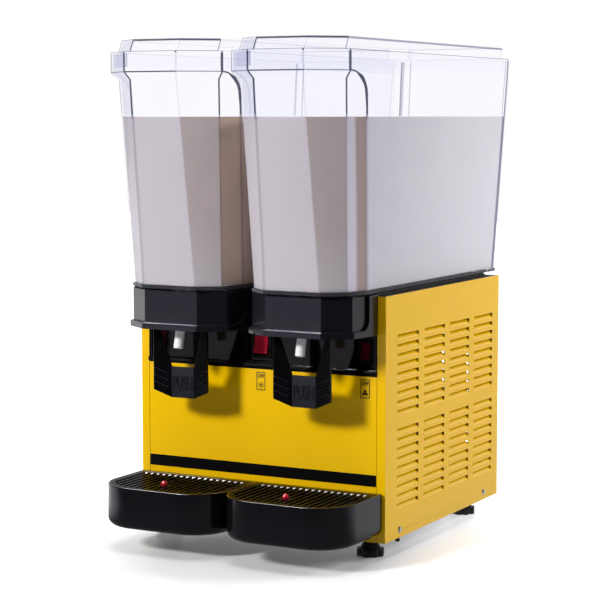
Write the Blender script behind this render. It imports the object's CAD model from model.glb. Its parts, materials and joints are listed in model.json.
import json
import math
import bpy
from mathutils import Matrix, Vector


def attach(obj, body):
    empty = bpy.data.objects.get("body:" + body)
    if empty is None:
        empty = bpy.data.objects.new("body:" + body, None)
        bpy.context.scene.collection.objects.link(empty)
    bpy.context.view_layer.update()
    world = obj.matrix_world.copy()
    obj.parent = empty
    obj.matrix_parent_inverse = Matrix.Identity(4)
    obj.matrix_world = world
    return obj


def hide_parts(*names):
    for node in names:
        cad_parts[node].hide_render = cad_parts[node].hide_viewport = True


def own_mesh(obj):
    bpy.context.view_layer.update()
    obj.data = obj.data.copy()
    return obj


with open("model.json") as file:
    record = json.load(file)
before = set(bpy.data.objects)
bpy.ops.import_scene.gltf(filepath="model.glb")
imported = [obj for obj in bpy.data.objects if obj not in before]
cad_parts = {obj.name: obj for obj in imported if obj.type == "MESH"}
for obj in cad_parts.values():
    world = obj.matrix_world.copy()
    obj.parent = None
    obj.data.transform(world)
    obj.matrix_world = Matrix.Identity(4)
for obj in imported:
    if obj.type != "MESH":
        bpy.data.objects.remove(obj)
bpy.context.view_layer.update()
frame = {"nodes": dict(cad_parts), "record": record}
nodes = frame["nodes"]
behaviour = frame["record"]["behaviour"]
slotOf = {s["node"]: s["material_slot"] for s in frame["record"]["subparts"]}
bodyOf = {n: b for b, ns in behaviour["bodies"].items() for n in ns}
print("frame loaded:", len(nodes), "nodes")

mm = 0.001
frontY = -0.1515  # the front panel's face
floorLift = 0.021  # the cabinet's lower edge, above the counter
tankX = 0.0885  # from the part's middle to the middle of each tank
tankFoot, tankFloor, drinkTop = 316.0, 320.0, 533.7  # heights in the cabinet, in millimetres
sides = {"left": -1, "right": 1}
standing = (math.radians(90), 0, 0)  # turns a flat thing to face the front


def spot(x, y, z):
    # a place in millimetres from the cabinet's own front edge, in metres in the part's frame
    return Vector((x * mm, y * mm + frontY, z * mm + floorLift))


drinkLow, drinkLevel = spot(0, 0, tankFloor).z, spot(0, 0, drinkTop).z


# working helpers

def deselect():
    if bpy.context.mode != "OBJECT":
        bpy.ops.object.mode_set(mode="OBJECT")
    bpy.ops.object.select_all(action="DESELECT")


def take(obj):
    deselect()
    obj.select_set(True)
    bpy.context.view_layer.objects.active = obj
    return obj


def newest(name):
    obj = bpy.context.active_object
    obj.name = name
    obj.data.name = name
    return obj


def settle(obj):
    take(obj)
    bpy.ops.object.transform_apply(location=True, rotation=True, scale=True)
    return obj


def joinAll(objs, name):
    deselect()
    for o in objs:
        o.select_set(True)
    bpy.context.view_layer.objects.active = objs[0]
    if len(objs) > 1:
        bpy.ops.object.join()
    return newest(name)


def editAll(obj):
    take(obj)
    bpy.ops.object.mode_set(mode="EDIT")
    bpy.ops.mesh.select_all(action="SELECT")


def applyModifier(obj, kind, **settings):
    take(obj)
    mod = obj.modifiers.new(kind.lower(), kind)
    for key, value in settings.items():
        setattr(mod, key, value)
    bpy.ops.object.modifier_apply(modifier=mod.name)
    return obj


def smoothBy(obj, degrees):
    take(obj)
    bpy.ops.object.shade_smooth_by_angle(angle=math.radians(degrees))
    return obj


def dress(obj, *mats):
    obj.data.materials.clear()
    for m in mats:
        obj.data.materials.append(m)
    return obj


def roundedCopy(node, mats, width, segments=2, angle=30, smooth=35, edgeSlot=-1, flat=0,
                lines=None):
    # a copy of a CAD node's mesh with its doubles merged and its edges rounded
    obj = bpy.data.objects.new(node + "_rounded", nodes[node].data.copy())
    bpy.context.scene.collection.objects.link(obj)
    editAll(obj)
    bpy.ops.mesh.remove_doubles(threshold=1e-6)
    if flat:
        bpy.ops.mesh.dissolve_limited(angle_limit=math.radians(flat))
    bpy.ops.object.mode_set(mode="OBJECT")
    mesh = obj.data
    for name in ("custom_normal", "sharp_face", "sharp_edge"):
        if name in mesh.attributes:
            mesh.attributes.remove(mesh.attributes[name])
    dress(obj, *mats)
    if lines:  # only the edges that lie on the stated lines, each by its weight
        weights = mesh.attributes.new("bevel_weight_edge", "FLOAT", "EDGE")
        for edge in mesh.edges:
            ends = [mesh.vertices[i].co for i in edge.vertices]
            weights.data[edge.index].value = lines(*ends)
    applyModifier(obj, "BEVEL", width=width, segments=segments,
                  limit_method="WEIGHT" if lines else "ANGLE",
                  angle_limit=math.radians(angle), use_clamp_overlap=False,
                  harden_normals=False, miter_outer="MITER_ARC", material=edgeSlot)
    smoothBy(obj, smooth)
    applyModifier(obj, "WEIGHTED_NORMAL", keep_sharp=True, weight=60)
    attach(obj, bodyOf[node])
    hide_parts(node)
    return obj


# camera, at the photo's viewing angle

cameraSet = {"place": (1.1928, -2.2657, 0.5563), "tilt": 5.554, "turn": 28.2016,
             "lens": 114.03, "sensor": 36, "reach": 50}
deselect()
bpy.ops.object.camera_add(
    location=cameraSet["place"],
    rotation=(math.radians(90 - cameraSet["tilt"]), 0, math.radians(cameraSet["turn"])))
camera = bpy.context.active_object
camera.data.lens = cameraSet["lens"]
camera.data.sensor_width = cameraSet["sensor"]
camera.data.clip_end = cameraSet["reach"]
bpy.context.scene.camera = camera
bpy.context.scene.view_settings.view_transform = "Standard"
bpy.context.scene.cycles.transparent_max_bounces = 32  # walls behind walls
print("camera set")


# lights: a key from the front left, a broad one behind on the right, a soft one overhead,
# and a glint from the upper left that only shows in glossy edges

lamps = {
    "keyLamp": {"turn": -23, "rise": 28, "far": 3.0, "size": 0.55, "power": 85},
    "sideLamp": {"turn": 122, "rise": 24, "far": 2.6, "size": 1.2, "power": 53, "glossy": False},
    "topLamp": {"turn": 20, "rise": 84, "far": 2.4, "size": 1.8, "power": 46, "glossy": False},
    "glintLamp": {"turn": -76, "rise": 60, "far": 2.4, "size": 1.4, "power": 140,
                  "diffuse": False},
}
aim = Vector((0, 0, 0.3))  # the part's middle
for lampName, how in lamps.items():
    turn, rise = math.radians(how["turn"]), math.radians(how["rise"])
    toLamp = Vector((math.sin(turn) * math.cos(rise), -math.cos(turn) * math.cos(rise),
                     math.sin(rise)))
    deselect()
    bpy.ops.object.light_add(type="AREA", location=aim + toLamp * how["far"])
    lamp = bpy.context.active_object
    lamp.name = lampName
    lamp.rotation_euler = toLamp.to_track_quat("Z", "Y").to_euler()
    lamp.data.shape = "DISK"
    lamp.data.size = how["size"]
    lamp.data.energy = how["power"]
    lamp.visible_glossy = how.get("glossy", True)
    lamp.visible_diffuse = how.get("diffuse", True)
print("lamps hung:", len(lamps))


# material tools

def blank(name):
    mat = bpy.data.materials.new(name)
    mat.use_nodes = True
    return mat, mat.node_tree, mat.node_tree.nodes["Principled BSDF"]


def coords(tree):
    return tree.nodes.new("ShaderNodeTexCoord").outputs["Object"]


def split(tree, vector):
    cut = tree.nodes.new("ShaderNodeSeparateXYZ")
    tree.links.new(vector, cut.inputs["Vector"])
    return cut.outputs


def calc(tree, operation, *terms):
    # a Math node fed by sockets or plain numbers
    node = tree.nodes.new("ShaderNodeMath")
    node.operation = operation
    for socket, term in zip(node.inputs, terms):
        if isinstance(term, (int, float)):
            socket.default_value = term
        else:
            tree.links.new(term, socket)
    return node.outputs["Value"]


def chain(tree, operation, *terms):
    # one Math node after another, over any number of terms
    whole = terms[0]
    for term in terms[1:]:
        whole = calc(tree, operation, whole, term)
    return whole


def noise(tree, vector, scale, detail=3, rough=0.55):
    n = tree.nodes.new("ShaderNodeTexNoise")
    n.inputs["Scale"].default_value = scale
    n.inputs["Detail"].default_value = detail
    n.inputs["Roughness"].default_value = rough
    tree.links.new(vector, n.inputs["Vector"])
    return n.outputs["Fac"]


def ramp(tree, fac, low, high, start=0.3, end=0.7):
    r = tree.nodes.new("ShaderNodeValToRGB")
    r.color_ramp.elements[0].position = start
    r.color_ramp.elements[1].position = end
    r.color_ramp.elements[0].color = (*low, 1)
    r.color_ramp.elements[1].color = (*high, 1)
    tree.links.new(fac, r.inputs["Fac"])
    return r.outputs["Color"]


def spread(tree, fac, low, high, start=0.3, end=0.7):
    m = tree.nodes.new("ShaderNodeMapRange")
    for key, value in zip(("From Min", "From Max", "To Min", "To Max"), (start, end, low, high)):
        m.inputs[key].default_value = value
    tree.links.new(fac, m.inputs["Value"])
    return m.outputs["Result"]


def bump(tree, shader, height, strength, distance):
    b = tree.nodes.new("ShaderNodeBump")
    b.inputs["Strength"].default_value = strength
    b.inputs["Distance"].default_value = distance
    tree.links.new(height, b.inputs["Height"])
    tree.links.new(b.outputs["Normal"], shader.inputs["Normal"])


# solid finishes: those of the nodes' material slots, then those of single pieces

wearFiner = 6  # the gloss varies on a finer scale than the colour
coatRough = 0.08


def finish(name, low, high, rough, grain, depth, blotch, metal=0.0, coat=0.0, strength=0.4,
           level=0.5, glossTint=(1, 1, 1)):
    # blotches of two close colours, uneven gloss and a fine grain
    mat, tree, shader = blank(name)
    at = coords(tree)
    cloud = noise(tree, at, blotch, detail=4)
    tree.links.new(ramp(tree, cloud, low, high), shader.inputs["Base Color"])
    wear = noise(tree, at, blotch * wearFiner, detail=5, rough=0.65)
    tree.links.new(spread(tree, wear, *rough), shader.inputs["Roughness"])
    shader.inputs["Metallic"].default_value = metal
    shader.inputs["Specular IOR Level"].default_value = level
    shader.inputs["Specular Tint"].default_value = (*glossTint, 1)
    shader.inputs["Coat Weight"].default_value = coat
    shader.inputs["Coat Roughness"].default_value = coatRough
    bump(tree, shader, noise(tree, at, grain, detail=2), strength, depth)
    return mat


finishes = {
    "yellow_paint": finish(
        "yellowEnamel", (0.82, 0.475, 0.0008), (0.86, 0.51, 0.001), rough=(0.10, 0.15),
        grain=420, depth=0.00006, blotch=5, strength=0.05, level=0.45),
    "black_gloss": finish(
        "blackGloss", (0.0018, 0.0018, 0.0024), (0.0032, 0.0031, 0.0040), rough=(0.07, 0.16),
        grain=160, depth=0.00005, blotch=14, strength=0.12),
    "charcoal_plastic": finish(
        "charcoalSatin", (0.0022, 0.0022, 0.0034), (0.0034, 0.0034, 0.0050), rough=(0.42, 0.5),
        grain=1700, depth=0.00003, blotch=22, strength=0.2, coat=0.6, level=0.6,
        glossTint=(0.75, 0.75, 1.0)),
    "bright_red": finish(
        "brightRed", (0.40, 0.006, 0.024), (0.50, 0.012, 0.036), rough=(0.12, 0.22),
        grain=600, depth=0.00003, blotch=40, coat=0.5),
    "dark_red": finish(
        "darkRed", (0.050, 0.002, 0.004), (0.085, 0.003, 0.006), rough=(0.12, 0.22),
        grain=600, depth=0.00003, blotch=40, coat=0.5),
    "white_plastic": finish(
        "whitePlastic", (0.78, 0.78, 0.78), (0.84, 0.84, 0.845), rough=(0.22, 0.34),
        grain=900, depth=0.00004, blotch=30),
    "grey_plastic": finish(
        "greyPlastic", (0.17, 0.175, 0.185), (0.20, 0.205, 0.215), rough=(0.45, 0.6),
        grain=1200, depth=0.00006, blotch=20),
    "black_plastic": finish(
        "blackPlastic", (0.008, 0.008, 0.009), (0.014, 0.014, 0.015), rough=(0.38, 0.55),
        grain=1300, depth=0.00006, blotch=30),
    "zinc_steel": finish(
        "zincSteel", (0.44, 0.45, 0.47), (0.58, 0.59, 0.61), rough=(0.32, 0.5),
        grain=240, depth=0.00003, blotch=55, metal=1.0),
    "bright_steel": finish(
        "brightSteel", (0.62, 0.62, 0.63), (0.74, 0.74, 0.75), rough=(0.16, 0.28),
        grain=900, depth=0.00002, blotch=60, metal=1.0),
    "black_rubber": finish(
        "blackRubber", (0.010, 0.010, 0.010), (0.018, 0.018, 0.018), rough=(0.6, 0.8),
        grain=1500, depth=0.00008, blotch=30),
    "red_rubber": finish(
        "redRubber", (0.26, 0.035, 0.018), (0.33, 0.05, 0.026), rough=(0.5, 0.7),
        grain=1500, depth=0.00006, blotch=30),
    "copper": finish(
        "copperTube", (0.60, 0.27, 0.14), (0.72, 0.36, 0.20), rough=(0.22, 0.4),
        grain=400, depth=0.00003, blotch=40, metal=1.0),
    "aluminium_fins": finish(
        "aluminiumFins", (0.55, 0.56, 0.58), (0.68, 0.69, 0.71), rough=(0.3, 0.46),
        grain=700, depth=0.00003, blotch=50, metal=1.0),
    "black_paint": finish(
        "blackPaint", (0.010, 0.010, 0.012), (0.018, 0.018, 0.020), rough=(0.28, 0.42),
        grain=300, depth=0.00005, blotch=18),
    "magnet_iron": finish(
        "magnetIron", (0.035, 0.033, 0.033), (0.06, 0.057, 0.056), rough=(0.5, 0.7),
        grain=1400, depth=0.00008, blotch=60),
}
labelInk = finish(
    "labelInk", (0.004, 0.0035, 0.003), (0.007, 0.006, 0.005), rough=(0.4, 0.5),
    grain=900, depth=0.00001, blotch=60)
trayGloss = finish(
    "trayGloss", (0.0022, 0.0022, 0.0030), (0.0034, 0.0034, 0.0044), rough=(0.08, 0.15),
    grain=260, depth=0.00003, blotch=12, strength=0.1, glossTint=(0.85, 0.85, 1.0))
grilleSatin = finish(
    "grilleSatin", (0.0020, 0.0019, 0.0016), (0.0030, 0.0028, 0.0022), rough=(0.2, 0.3),
    grain=1700, depth=0.00003, blotch=22, strength=0.2, level=0.014)
slotGlint = finish(
    "slotGlint", (0.66, 0.66, 0.66), (0.76, 0.76, 0.76), rough=(0.2, 0.3),
    grain=1700, depth=0.00002, blotch=30)
stripVinyl = finish(
    "stripVinyl", (0.0020, 0.0019, 0.0018), (0.0030, 0.0029, 0.0027), rough=(0.25, 0.35),
    grain=900, depth=0.00002, blotch=12, strength=0.1, level=0.15)
pushSatin = finish(
    "pushSatin", (0.0016, 0.0016, 0.0022), (0.0024, 0.0024, 0.0032), rough=(0.3, 0.38),
    grain=1700, depth=0.00002, blotch=30, strength=0.1)
wingGloss = finish(
    "wingGloss", (0.0020, 0.0020, 0.0026), (0.0030, 0.0030, 0.0038), rough=(0.16, 0.24),
    grain=1700, depth=0.00002, blotch=26, strength=0.1, level=0.22)
fasciaGloss = finish(
    "fasciaGloss", (0.0020, 0.0020, 0.0026), (0.0032, 0.0031, 0.0040), rough=(0.06, 0.10),
    grain=160, depth=0.00002, blotch=14, strength=0.03, glossTint=(0.93, 0.90, 1.0))
pocketBlack = finish(
    "pocketBlack", (0.0026, 0.0026, 0.0030), (0.0040, 0.0040, 0.0045), rough=(0.18, 0.28),
    grain=700, depth=0.00003, blotch=24, strength=0.1, level=0.35)


# clear plastic

clearLook = {"body": (0.7, 0.7, 0.78), "rough": (0.02, 0.07), "wear": 30, "wave": 14,
             "waveStrength": 0.05, "waveDepth": 0.0004, "blend": 0.5, "steepness": 3}
levelBlur = 0.004  # to each side of the drink's level
glintSet = {"scale": 42, "span": (0.55, 0.66)}


def clear(name, tint, shine, below=None, glint=None, band=None):
    # see-through, with a gloss that grows towards the edges of the view
    mat, tree, shader = blank(name)
    at = coords(tree)
    axes = split(tree, at)
    see = tree.nodes.new("ShaderNodeBsdfTransparent")
    see.inputs["Color"].default_value = (*tint, 1)
    if below:  # an edge is lighter against the drink
        rise = spread(tree, axes["Z"], 0, 1, drinkLevel - levelBlur, drinkLevel + levelBlur)
        tree.links.new(ramp(tree, rise, below, tint, 0, 1), see.inputs["Color"])
    if glint:  # light caught in a thick foot
        cloud = noise(tree, at, glintSet["scale"], detail=2)
        tree.links.new(ramp(tree, cloud, tint, glint, *glintSet["span"]), see.inputs["Color"])
    if band:  # the wall looks denser along its rear corner, which leans back as it rises
        plumb = calc(tree, "MULTIPLY_ADD", axes["Z"], -band["lean"], axes["Y"])
        off = calc(tree, "ABSOLUTE", calc(tree, "SUBTRACT", plumb, band["place"]))
        close = spread(tree, off, 0, 1, band["half"] * band["core"], band["half"])
        tree.links.new(ramp(tree, close, band["tint"], tint, 0, 1), see.inputs["Color"])
    shader.inputs["Base Color"].default_value = (*clearLook["body"], 1)
    wear = noise(tree, at, clearLook["wear"], detail=4)
    tree.links.new(spread(tree, wear, *clearLook["rough"]), shader.inputs["Roughness"])
    bump(tree, shader, noise(tree, at, clearLook["wave"], detail=2),
         clearLook["waveStrength"], clearLook["waveDepth"])
    edge = tree.nodes.new("ShaderNodeLayerWeight")
    edge.inputs["Blend"].default_value = clearLook["blend"]
    steep = calc(tree, "POWER", edge.outputs["Facing"], clearLook["steepness"])
    mix = tree.nodes.new("ShaderNodeMixShader")
    tree.links.new(spread(tree, steep, *shine, 0, 1), mix.inputs["Fac"])
    tree.links.new(see.outputs["BSDF"], mix.inputs[1])
    tree.links.new(shader.outputs["BSDF"], mix.inputs[2])
    tree.links.new(mix.outputs["Shader"], tree.nodes["Material Output"].inputs["Surface"])
    return mat


wallTint, wallShine = (0.991, 0.991, 0.9995), (0.0005, 0.12)
edgeShine, faintShine = (0.01, 0.1), (0.005, 0.1)
faintBelow = (0.93, 0.93, 0.95)
rearBand = {"lean": 0.1216, "half": 0.0034, "core": 0.6, "tint": (0.36, 0.36, 0.46), "y": 378.8}
rearBand["place"] = spot(0, rearBand["y"], 0).y - rearBand["lean"] * drinkLow
clearLid = clear("clearLid", wallTint, wallShine)
clearRear = clear("clearRear", wallTint, wallShine, band=rearBand)
clearShade = clear("clearShade", (0.90, 0.90, 0.945), wallShine, below=wallTint)
clearDark = clear("clearDark", (0.10, 0.10, 0.15), edgeShine, below=(0.80, 0.80, 0.84))
clearMid = clear("clearMid", (0.40, 0.40, 0.50), edgeShine, below=(0.88, 0.88, 0.91))
clearFaint = clear("clearFaint", (0.86, 0.86, 0.91), faintShine, below=faintBelow)
clearBack = clear("clearBack", (0.66, 0.66, 0.74), faintShine, below=faintBelow)
clearFoot = clear("clearFoot", (0.12, 0.12, 0.15), (0.05, 0.4), glint=(0.9, 0.9, 0.92))
finishes["clear_plastic"] = clearLid


# tones of the drink, each seen through one face of the tank

drinkLook = {"dim": (1.14, 0.845), "rough": (0.36, 0.5), "wear": 24, "level": 0.3}


def drinkTone(name, low, high, axis, start, end, lean=0.0):
    # from one tone to another along an axis, darker towards the top
    mat, tree, shader = blank(name)
    at = coords(tree)
    axes = split(tree, at)
    along = calc(tree, "MULTIPLY_ADD", axes["Z"], lean, axes[axis])
    tone = ramp(tree, spread(tree, along, 0, 1, start, end), low, high, 0, 1)
    dim = tree.nodes.new("ShaderNodeVectorMath")
    dim.operation = "SCALE"
    tree.links.new(tone, dim.inputs[0])
    tree.links.new(spread(tree, axes["Z"], *drinkLook["dim"], drinkLow, drinkLevel),
                   dim.inputs["Scale"])
    tree.links.new(dim.outputs["Vector"], shader.inputs["Base Color"])
    wear = noise(tree, at, drinkLook["wear"], detail=4)
    tree.links.new(spread(tree, wear, *drinkLook["rough"]), shader.inputs["Roughness"])
    shader.inputs["Specular IOR Level"].default_value = drinkLook["level"]
    return mat


chamferEnd = spot(0, 0, 400).z
sideSpan = (spot(0, -30, 0).y, spot(0, 400, 0).y)
recessLean = 0.074  # the recess leans forward as it rises
recessSpan = [spot(0, y, 0).y + spot(0, 0, tankFoot).z * recessLean for y in (-41, -36)]
milkFront = drinkTone("milkFront", (0.475, 0.442, 0.468), (0.465, 0.427, 0.460),
                      "Z", drinkLow, drinkLevel)
milkChamfer = drinkTone("milkChamfer", (0.53, 0.495, 0.51), (0.48, 0.41, 0.405),
                        "Z", drinkLow, chamferEnd)
milkRecess = drinkTone("milkRecess", (0.65, 0.62, 0.695), (0.395, 0.31, 0.295),
                       "Y", *recessSpan, recessLean)
milkSide = drinkTone("milkSide", (0.535, 0.515, 0.56), (0.675, 0.65, 0.695), "Y", *sideSpan)
milkShade = drinkTone("milkShade", (0.54, 0.40, 0.31), (0.60, 0.49, 0.44), "Y", *sideSpan)
print("materials made:", len(bpy.data.materials))

# every CAD node takes the finish of its slot
for nodeName, obj in nodes.items():
    for holder in obj.material_slots:
        holder.material = finishes[slotOf[nodeName]]
    if not obj.material_slots:
        obj.data.materials.append(finishes[slotOf[nodeName]])


# moulded and pressed pieces get rounded edges

sheetEdge = {"straight": 0.9999, "long": 0.1}


def longEdges(a, b):
    # a sheet's long straight edges, not those of its louvers and screw holes
    run = b - a
    straight = max(abs(c) for c in run) > sheetEdge["straight"] * run.length
    return 1.0 if straight and run.length > sheetEdge["long"] else 0.0


def wingFace(face, rearEnd):  # a lever's wings turn away and look glossier than its dished face
    return abs(face.normal.x) > 0.2 and face.normal.z < 0.3


def slotEnd(face, rearEnd):  # the rear ends of a grille's slots catch the light
    return face.normal.y < -0.6 and face.center.y > rearEnd - 12 * mm


def seamFace(face, rearEnd):  # the seams beside the front panel are dark
    inward = face.normal.x * face.center.x < 0 and abs(face.normal.x) > 0.5
    return inward and face.center.y < spot(0, 4, 0).y


sheetRound = {"width": 0.0003, "segments": 1, "smooth": 20, "lines": longEdges}
rockerRound = {"width": 0.0008, "segments": 3}
housingRound = {"width": 0.0007, "segments": 3, "angle": 20}
leverRound = {"width": 0.0006, "angle": 12}
trayRound = {"width": 0.0009, "segments": 3}
grilleRound = {"width": 0.0005}
plungerRound = {"width": 0.0006}
footRound = {"width": 0.0008}
roundings = {
    "control_fascia": {"width": 0.0004},
    "front_panel": {"width": 0.0004},
    "left_side_panel": sheetRound,
    "right_side_panel": sheetRound,
    "rear_panel": sheetRound,
    "switch_bodies": {"width": 0.0005},
    "left_rocker": rockerRound,
    "center_rocker": rockerRound,
    "right_rocker": rockerRound,
    "left_tap_housing": housingRound,
    "right_tap_housing": housingRound,
    "left_lever": leverRound,
    "right_lever": leverRound,
    "left_drip_tray": trayRound,
    "right_drip_tray": trayRound,
    "left_drip_grille": grilleRound,
    "right_drip_grille": grilleRound,
    "left_plunger": plungerRound,
    "right_plunger": plungerRound,
    "front_left_foot": footRound,
    "front_right_foot": footRound,
    "rear_left_foot": footRound,
    "rear_right_foot": footRound,
}
ownFinish = {"drip_tray": trayGloss, "drip_grille": grilleSatin, "fascia": fasciaGloss,
             "bodies": pocketBlack}
secondFinish = {"lever": (wingGloss, wingFace), "drip_grille": (slotGlint, slotEnd),
                "side_panel": (labelInk, seamFace)}
for nodeName, how in roundings.items():
    kind = nodeName.partition("_")[2]
    mats = [ownFinish.get(kind, finishes[slotOf[nodeName]])]
    second, takesSecond = secondFinish.get(kind, (None, None))
    if second:
        mats.append(second)
    piece = roundedCopy(nodeName, mats, **how)
    if second:
        rearEnd = max(v.co.y for v in piece.data.vertices)
        for face in piece.data.polygons:
            face.material_index = 1 if takesSecond(face, rearEnd) else 0

plateRound = {"width": 0.0003, "segments": 1}
for side in sides:  # the cold plates' edges are blacked out
    plateName = side + "_cold_plate"
    plate = roundedCopy(plateName, [finishes[slotOf[plateName]], finishes["black_plastic"]],
                        **plateRound)
    for face in plate.data.polygons:
        face.material_index = 0 if abs(face.normal.z) > 0.6 else 1

springRound = {"width": 0.00005, "segments": 1, "angle": 80, "smooth": 50}
for side in sides:  # each valve spring shortens as its plunger lifts
    coil = roundedCopy(side + "_valve_spring", [finishes["bright_steel"]], **springRound)
    ends = [pick(v.co.z for v in coil.data.vertices) for pick in (min, max)]
    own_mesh(coil)
print("edges rounded:", len(roundings) + 2 * len(sides))


# clear tanks and lids: walls, with their outer edges rounded and drawn denser
# here lengths are in millimetres, x from the tank's own middle

lidTop, lidFoot, flangeFoot, bendTop, rimFoot, rimTop = 630.0, 614.4, 611.0, 586.0, 589.0, 612.0
shoulder = 579.5  # where the front begins to step out to the rim
flangeCorners = (38.0, 74.7, 82.7)  # half widths at the outer corners, also of the tank's rim
lidCorners = (34.72, 70.97, 73.7)
skirtCorners = (36.62, 73.13, 78.9)
rimFace, rimBack, rimSide = flangeCorners
tankLines = {  # half widths of the tank's outer corners, by height
    "face": [(tankFoot, 38.7), (shoulder, 34.2), (rimFoot, rimFace), (rimTop, rimFace)],
    "corner": [(tankFoot, 66.2), (shoulder, 74.2), (rimFoot, rimSide), (rimTop, rimSide)],
    "side": [(tankFoot, 77.0), (rimFoot, rimSide), (rimTop, rimSide)],
    "back": [(tankFoot, 69.0), (rimFoot, rimBack), (rimTop, rimBack)],
}
near, onLine = 0.1, 0.12  # counts as the same place, and as on a leaning line
rimFront, frontPart, rearPart, lidRear = -80, -60, 200, 410  # places along tank and lid
leftX, sideX = -40, 80  # beyond these an edge is on the left, or on the outer right side
longestRun, leastRise = 60, 0.5  # of an edge that counts as a corner of the tank
tankWeights = {"rimFoot": 0.45, "sideRim": 0.5, "side": 1.4, "cornerRim": 1.1,
               "cornerRight": 0.6, "cornerLeft": 1.2, "faceLeft": 0.9, "other": 0.5}
lidWeights = {"crown": 1.0, "crownRear": 0.3, "crownLeft": 0.4, "crownRight": 0.25,
              "flange": 0.4, "skirt": 0.25, "footSide": 0.3, "foot": 0.2}


def inCab(point, way):
    # half width from the tank's middle, place behind the front panel and height
    return ((point.x - way * tankX) / mm, (point.y - frontY) / mm, (point.z - floorLift) / mm)


def halfWidth(line, z):
    for (z0, x0), (z1, x1) in zip(line, line[1:]):
        if z <= z1:
            return x0 + (x1 - x0) * (z - z0) / (z1 - z0)
    return line[-1][1]


def onCorner(x, corners):
    return min(abs(abs(x) - w) for w in corners) < near


def tankEdge(a, b):
    # how much of a tank's edge is rounded off
    (xa, ya, za), (xb, yb, zb) = a, b
    if max(abs(za - rimFoot), abs(zb - rimFoot)) < near:
        onRim = all(onCorner(x, (rimFace, rimSide)) and y < rimFront
                    for x, y in ((xa, ya), (xb, yb)))
        return tankWeights["rimFoot"] if onRim else 0.0
    across, tooLow = xa * xb < 0, min(za, zb) < tankFloor - near
    if across or tooLow or abs(ya - yb) > longestRun or abs(za - zb) < leastRise:
        return 0.0
    for name, line in tankLines.items():
        if max(abs(abs(x) - halfWidth(line, z)) for x, z in ((xa, za), (xb, zb))) < onLine:
            if name == "side" and ya < 0:
                return tankWeights["sideRim" if max(za, zb) > bendTop else "side"]
            if name == "corner" and min(za, zb) > rimFoot - near:
                return tankWeights["cornerRim"]
            if name == "corner":
                return tankWeights["cornerRight" if xa > 0 else "cornerLeft"]
            return tankWeights["faceLeft" if name == "face" and xa < 0 else "other"]
    return 0.0


def tankTone(x, y, z, way):
    # dark where the photo's near corners are, faint behind
    if y > rearPart:
        return clearBack if way > 0 or x < 0 else clearFaint
    if abs(z - rimFoot) < 1.0 and abs(x) < sideX:
        return clearDark if abs(x) < rimFace else clearMid
    if abs(abs(x) - halfWidth(tankLines["face"], z)) < 3:
        return clearDark if x < 0 else clearFaint
    if abs(x) < halfWidth(tankLines["side"], z) - 1.5 or y < -77:
        return clearDark
    return clearDark if x > 0 else clearFaint


def lidEdge(a, b):
    # how much of a lid's edge is rounded off
    (xa, ya, za), (xb, yb, zb) = a, b
    if min(za, zb) > lidTop - near:
        nearSide = min(xa, xb) > leftX and min(ya, yb) < lidRear
        return lidWeights["crown" if nearSide else "crownRear"]
    upright = abs(xa - xb) < near and abs(ya - yb) < 20
    tall = abs(za - zb)
    if upright and min(za, zb) > lidFoot - near and onCorner(xa, lidCorners):
        return lidWeights["crownLeft" if xa < 0 else "crownRight"]
    if upright and onCorner(xa, flangeCorners) and tall < 3:
        return lidWeights["flange"]
    if upright and ya < 0 and onCorner(xa, skirtCorners) and tall > 5:
        return lidWeights["skirt"]
    if max(abs(za - lidFoot), abs(zb - lidFoot)) < near:
        for corners in (flangeCorners, lidCorners):  # the flange's upper edge, the crown's foot
            if onCorner(xa, corners) and onCorner(xb, corners):
                return lidWeights["footSide" if min(xa, xb) > sideX else "foot"]
    return 0.0


def lidTone(x, y, z, way):
    if z > lidTop - 2:  # the crown's upper edge
        if y < frontPart:
            return clearDark if x > leftX else clearMid
        if way > 0 and x > 60 and y < lidRear:
            return clearMid
        return clearBack if y > lidRear else clearFaint
    if z < lidFoot - 0.9 and y < 0:  # corners of the flange and of the skirt inside the rim
        if z > flangeFoot:
            return clearDark
        return clearMid if x < 0 else clearFaint
    if z < lidFoot + 1:
        return clearMid if y < frontPart or way > 0 and x > sideX else clearFaint
    if y > rearPart or 0 < x < 50:
        return clearFaint
    return clearDark if x < 0 else clearMid


def edgeRule(rule, way):
    def weigh(a, b):
        return rule(inCab(a, way), inCab(b, way))
    return weigh


clearSet = {
    "tank": {"width": 0.0020, "edge": tankEdge, "tone": tankTone},
    "lid": {"width": 0.0030, "edge": lidEdge, "tone": lidTone},
}
clearMats = [clearLid, clearDark, clearMid, clearFaint, clearBack, clearFoot, clearRear, clearShade]
edgeSlot = clearMats.index(clearDark)  # the rounded edges start out in this slot
rearWall = spot(0, 350, 0).y
for side, way in sides.items():
    for part, how in clearSet.items():
        obj = roundedCopy(side + "_" + part, clearMats, how["width"], smooth=25,
                          edgeSlot=edgeSlot, flat=1.0, lines=edgeRule(how["edge"], way))
        for face in obj.data.polygons:
            x, y, z = inCab(face.center, way)
            nx, ny = abs(face.normal.x), abs(face.normal.y)
            furthest = max(obj.data.vertices[i].co.y for i in face.vertices)
            outer = abs(x) > halfWidth(tankLines["side"], z) - 1
            if face.material_index == edgeSlot:
                tone = how["tone"](x, y, z, way)
            elif part == "tank" and z < tankFloor + 0.2:
                tone = clearFoot
            elif part == "tank" and way > 0 and nx > 0.9 and furthest > rearWall and outer:
                tone = clearRear
            elif x < 0 and y < frontPart and nx > 0.3 and ny > 0.3:
                tone = clearShade  # the corner that faces the light looks denser
            else:
                continue
            face.material_index = clearMats.index(tone)
print("tanks and lids made")


# the cold drink in each tank: a loft from the tank's floor to the level line

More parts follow.
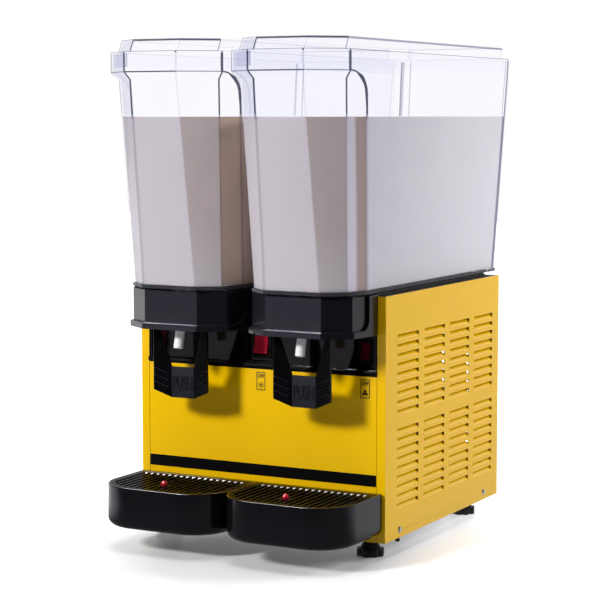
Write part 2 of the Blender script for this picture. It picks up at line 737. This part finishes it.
drinkSet = {
    "low": [(38.1, -76.1), (64.9, -54.8), (75.7, -22.0), (75.7, 382.9), (68.5, 390.1)],
    "high": [(34.5, -103.6), (71.4, -71.1), (80.1, -34.3), (80.1, 408.9), (73.0, 416.1)],
    "midY": 150, "halfY": 200, "halfX": 80,  # only to sort the corners by their direction
    "round": 0.0012, "roundAngle": 15, "smooth": 20,
}
drinkMats = [milkFront, milkChamfer, milkRecess, milkSide, milkShade]


def direction(x, y):
    return math.atan2(y, x) % (2 * math.pi)


def drinkRing(half):
    # both halves of a loft outline, in the order of their direction from its middle
    ring = [(-x, y) for x, y in reversed(half)] + list(half)
    return sorted(ring, key=lambda p: direction(
        p[0] / drinkSet["halfX"], (p[1] - drinkSet["midY"]) / drinkSet["halfY"]))


def milkOn(nx, ny, way):
    if ny < -0.9:
        return milkFront
    if ny < -0.45:
        return milkChamfer if nx > 0 else milkFront
    if way < 0 and nx > 0.9:  # in the other tank's shade
        return milkShade
    return milkRecess if ny < -0.18 and nx > 0 else milkSide


levels = {False: (drinkRing(drinkSet["low"]), tankFloor),
          True: (drinkRing(drinkSet["high"]), drinkTop)}
for side, way in sides.items():
    deselect()
    bpy.ops.mesh.primitive_cylinder_add(vertices=2 * len(drinkSet["low"]), radius=0.1, depth=0.2,
                                        end_fill_type="NGON")
    drink = newest(side + "_drink")
    rings = {False: [], True: []}
    for v in drink.data.vertices:
        rings[v.co.z > 0].append(v)
    for upper, ring in rings.items():
        outline, height = levels[upper]
        ring.sort(key=lambda v: direction(v.co.x, v.co.y))
        for v, (x, y) in zip(ring, outline):
            v.co = spot(way * tankX / mm + x, y, height)
    editAll(drink)
    bpy.ops.mesh.normals_make_consistent(inside=False)
    bpy.ops.object.mode_set(mode="OBJECT")
    applyModifier(drink, "BEVEL", width=drinkSet["round"], segments=2, limit_method="ANGLE",
                  angle_limit=math.radians(drinkSet["roundAngle"]), use_clamp_overlap=False)
    smoothBy(drink, drinkSet["smooth"])
    dress(drink, *drinkMats)
    for face in drink.data.polygons:
        face.material_index = drinkMats.index(milkOn(face.normal.x, face.normal.y, way))
    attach(drink, side + "_tank")
print("drink poured")


# marks on the front: a bare black strip, a boxed OFF and sign under each switch, PUSH on the levers

stripSet = {"half": 167.3, "low": 71.2, "high": 86.0, "thick": 0.3, "round": 0.0001}
deselect()
bpy.ops.mesh.primitive_cube_add(
    size=1, location=spot(0, -stripSet["thick"] / 2, (stripSet["low"] + stripSet["high"]) / 2),
    scale=(2 * stripSet["half"] * mm, stripSet["thick"] * mm,
           (stripSet["high"] - stripSet["low"]) * mm))
strip = settle(newest("front_strip"))
applyModifier(strip, "BEVEL", width=stripSet["round"], segments=2, limit_method="ANGLE")
dress(strip, stripVinyl)
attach(strip, "cabinet")


def lettering(name, words, size, depth, at, heavy):
    deselect()
    bpy.ops.object.text_add()
    obj = newest(name)
    obj.data.body = words
    obj.data.align_x = "CENTER"
    obj.data.align_y = "CENTER"
    obj.data.extrude = 0.1
    obj.data.offset = heavy
    obj.data.resolution_u = 3
    take(obj)
    bpy.ops.object.convert(target="MESH")
    obj = newest(name)
    points = obj.data.vertices
    low = Vector([min(v.co[i] for v in points) for i in range(3)])
    high = Vector([max(v.co[i] for v in points) for i in range(3)])
    for v in points:
        v.co = v.co - (low + high) / 2
    span = high - low
    obj.scale = (size[0] * mm / span.x, size[1] * mm / span.y, depth * mm / span.z)
    obj.rotation_euler = standing
    obj.location = at
    return settle(obj)


labelSet = {"wide": 13.0, "low": 182.6, "high": 206.4, "line": 1.1, "thick": 0.12, "corner": 1.0,
            "backing": 0.9, "word": (9.8, 4.9), "wordZ": 201.2, "heavy": 0.04, "signZ": 189.2,
            "at": {"left": -151.6, "center": 2.0, "right": 151.6}}
coldSet = {"bar": (8.0, 0.8), "barTurns": (30, 90, 150), "twig": (1.8, 0.6), "twigAt": 2.9,
           "twigOut": 0.7, "twigLean": 45}
fanSet = {"blade": 1.9, "bladeAt": 2.3, "bladeTurns": (90, 210, 330), "hub": 1.4, "corners": 20}
midInk = -labelSet["thick"] / 2  # the middle of the ink's thickness


def around(x, z, radius, degrees):
    turn = math.radians(degrees)
    return spot(x + radius * math.cos(turn), midInk, z + radius * math.sin(turn))


def labelFrame(name, x):
    midZ = (labelSet["low"] + labelSet["high"]) / 2
    deselect()
    bpy.ops.mesh.primitive_plane_add(size=1, location=spot(x, -labelSet["thick"], midZ),
                                     rotation=standing)
    obj = newest(name)
    obj.scale = (labelSet["wide"] * mm, (labelSet["high"] - labelSet["low"]) * mm, 1)
    editAll(settle(obj))
    bpy.ops.mesh.bevel(offset=labelSet["corner"] * mm, segments=4, affect="VERTICES")
    bpy.ops.mesh.select_all(action="SELECT")
    bpy.ops.mesh.inset(thickness=labelSet["line"] * mm)
    bpy.ops.mesh.delete(type="FACE")
    bpy.ops.object.mode_set(mode="OBJECT")
    return applyModifier(obj, "SOLIDIFY", offset=-1,
                         thickness=labelSet["thick"] * mm * labelSet["backing"])


def signBar(turn, long, wide, at):
    deselect()
    bpy.ops.mesh.primitive_cube_add(size=1, location=(0, 0, 0))
    obj = bpy.context.active_object
    obj.scale = (long * mm, labelSet["thick"] * mm, wide * mm)
    obj.rotation_euler = (0, math.radians(turn), 0)
    obj.location = at
    return settle(obj)


def coldSign(name, x, z):
    # a snow star: three bars with a pair of twigs at each of their six ends
    bars = [signBar(turn, *coldSet["bar"], spot(x, midInk, z)) for turn in coldSet["barTurns"]]
    for turn in range(30, 390, 60):
        for lean in (-coldSet["twigLean"], coldSet["twigLean"]):
            tip, out = math.radians(turn + lean), coldSet["twigOut"] * mm
            reach = around(x, z, coldSet["twigAt"], turn)
            reach += Vector((out * math.cos(tip), 0, out * math.sin(tip)))
            bars.append(signBar(-turn - lean, *coldSet["twig"], reach))
    return joinAll(bars, name)


def fanSign(name, x, z):
    # three round blades on a square hub
    blades = []
    for turn in fanSet["bladeTurns"]:
        deselect()
        bpy.ops.mesh.primitive_cylinder_add(
            vertices=fanSet["corners"], radius=fanSet["blade"] * mm,
            depth=labelSet["thick"] * mm, rotation=standing,
            location=around(x, z, fanSet["bladeAt"], turn))
        blades.append(settle(bpy.context.active_object))
    blades.append(signBar(0, fanSet["hub"], fanSet["hub"], spot(x, midInk, z)))
    return joinAll(blades, name)


for place, x in labelSet["at"].items():
    sign = coldSign if place == "center" else fanSign
    bits = [labelFrame(place + "_box", x),
            lettering(place + "_off", "OFF", labelSet["word"], labelSet["thick"],
                      spot(x, midInk, labelSet["wordZ"]), labelSet["heavy"]),
            sign(place + "_sign", x, labelSet["signZ"])]
    label = joinAll(bits, place + "_label")
    dress(label, labelInk)
    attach(label, "cabinet")

pushSet = {"word": (29.0, 18.0), "thick": 1.0, "z": 191.5, "face": -45.0, "heavy": 0.015,
           "round": 0.0002, "smooth": 30}
for side, way in sides.items():
    push = lettering(side + "_push", "PUSH", pushSet["word"], pushSet["thick"],
                     spot(way * tankX / mm, pushSet["face"], pushSet["z"]), pushSet["heavy"])
    applyModifier(push, "BEVEL", width=pushSet["round"], segments=2, limit_method="ANGLE")
    smoothBy(push, pushSet["smooth"])
    dress(push, pushSatin)
    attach(push, side + "_lever")
print("marks set")


# a short rubber drain under the base pan, seen behind the front foot

drainSet = {"x": 150, "y": 100, "low": -19.5, "high": 1.0, "radius": 3.0, "corners": 32,
            "round": 0.0006, "smooth": 40}
deselect()
bpy.ops.mesh.primitive_cylinder_add(
    vertices=drainSet["corners"], radius=drainSet["radius"] * mm,
    depth=(drainSet["high"] - drainSet["low"]) * mm,
    location=spot(drainSet["x"], drainSet["y"], (drainSet["low"] + drainSet["high"]) / 2))
drain = settle(newest("drain_stub"))
applyModifier(drain, "BEVEL", width=drainSet["round"], segments=3, limit_method="ANGLE",
              angle_limit=math.radians(drainSet["smooth"]))
smoothBy(drain, drainSet["smooth"])
dress(drain, finishes["black_rubber"])
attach(drain, "cabinet")
print("drain set")


# stage: a pale floor that keeps the shadow, and a white surround

floorSet = {
    "size": 14, "z": -0.0004, "rough": 0.32, "level": 0.3,
    "seen": (0.78, 0.78, 0.80), "bounced": (0.45, 0.45, 0.47),  # less light goes back up
    "glowFrom": (0.05, -0.22, 0), "glow": (0.085, 1.0), "glowSpan": (0.14, 0.70),
}
deselect()
bpy.ops.mesh.primitive_plane_add(size=floorSet["size"], location=(0, 0, floorSet["z"]))
floor = newest("paleFloor")
mat, tree, shader = blank("paleFloor")
shader.inputs["Roughness"].default_value = floorSet["rough"]
shader.inputs["Specular IOR Level"].default_value = floorSet["level"]
shader.inputs["Emission Color"].default_value = (1, 1, 1, 1)
ray = tree.nodes.new("ShaderNodeLightPath").outputs
bounce = ramp(tree, ray["Is Diffuse Ray"], floorSet["seen"], floorSet["bounced"], 0, 1)
tree.links.new(bounce, shader.inputs["Base Color"])
at = coords(tree)
away = tree.nodes.new("ShaderNodeVectorMath")
away.operation = "DISTANCE"
away.inputs[1].default_value = floorSet["glowFrom"]
tree.links.new(at, away.inputs[0])
glow = spread(tree, away.outputs["Value"], *floorSet["glow"], *floorSet["glowSpan"])
tree.links.new(calc(tree, "MULTIPLY", ray["Is Camera Ray"], glow),
               shader.inputs["Emission Strength"])

# what glossy pieces see of the floor: brighter in two steps towards the back,
# and two pale cards, one far to the front left and one close on the left
axes = split(tree, at)
middleStep = spread(tree, axes["Y"], 0.0, 0.18, -0.95, -0.45)
rearStep = spread(tree, axes["Y"], 0.0, 0.42, -0.15, 0.0)
farCard = chain(tree, "MULTIPLY",
                spread(tree, axes["Y"], 0.0, 0.42, -2.75, -2.55),
                spread(tree, axes["Y"], 1.0, 0.0, -1.66, -1.5),
                spread(tree, axes["X"], 1.0, 0.0, -0.6, -0.35))
leftCard = chain(tree, "MULTIPLY",
                 spread(tree, axes["Y"], 0.0, 0.9, -0.5, -0.35),
                 spread(tree, axes["X"], 1.0, 0.0, -0.42, -0.32))
mirror = tree.nodes.new("ShaderNodeEmission")
tree.links.new(chain(tree, "ADD", middleStep, rearStep, farCard, leftCard),
               mirror.inputs["Strength"])
mix = tree.nodes.new("ShaderNodeMixShader")
tree.links.new(ray["Is Glossy Ray"], mix.inputs["Fac"])
tree.links.new(shader.outputs["BSDF"], mix.inputs[1])
tree.links.new(mirror.outputs["Emission"], mix.inputs[2])
tree.links.new(mix.outputs["Shader"], tree.nodes["Material Output"].inputs["Surface"])
dress(floor, mat)

# white to the camera, bright only behind for glossy pieces, and a little fill on the rest
worldSet = {"gloss": (0.01, 1.0), "glossSpan": (0.55, 0.85), "fill": 0.085}
world = bpy.data.worlds.new("studio")
bpy.context.scene.world = world
world.use_nodes = True
tree = world.node_tree
backdrop = tree.nodes["Background"]
backdrop.inputs["Color"].default_value = (1, 1, 1, 1)
ray = tree.nodes.new("ShaderNodeLightPath").outputs
axes = split(tree, tree.nodes.new("ShaderNodeTexCoord").outputs["Generated"])
behind = spread(tree, axes["Y"], *worldSet["gloss"], *worldSet["glossSpan"])
strength = chain(tree, "MAXIMUM", ray["Is Camera Ray"], ray["Is Transmission Ray"],
                 calc(tree, "MULTIPLY", ray["Is Glossy Ray"], behind),
                 calc(tree, "MULTIPLY", ray["Is Diffuse Ray"], worldSet["fill"]))
tree.links.new(strength, backdrop.inputs["Strength"])
print("stage set")
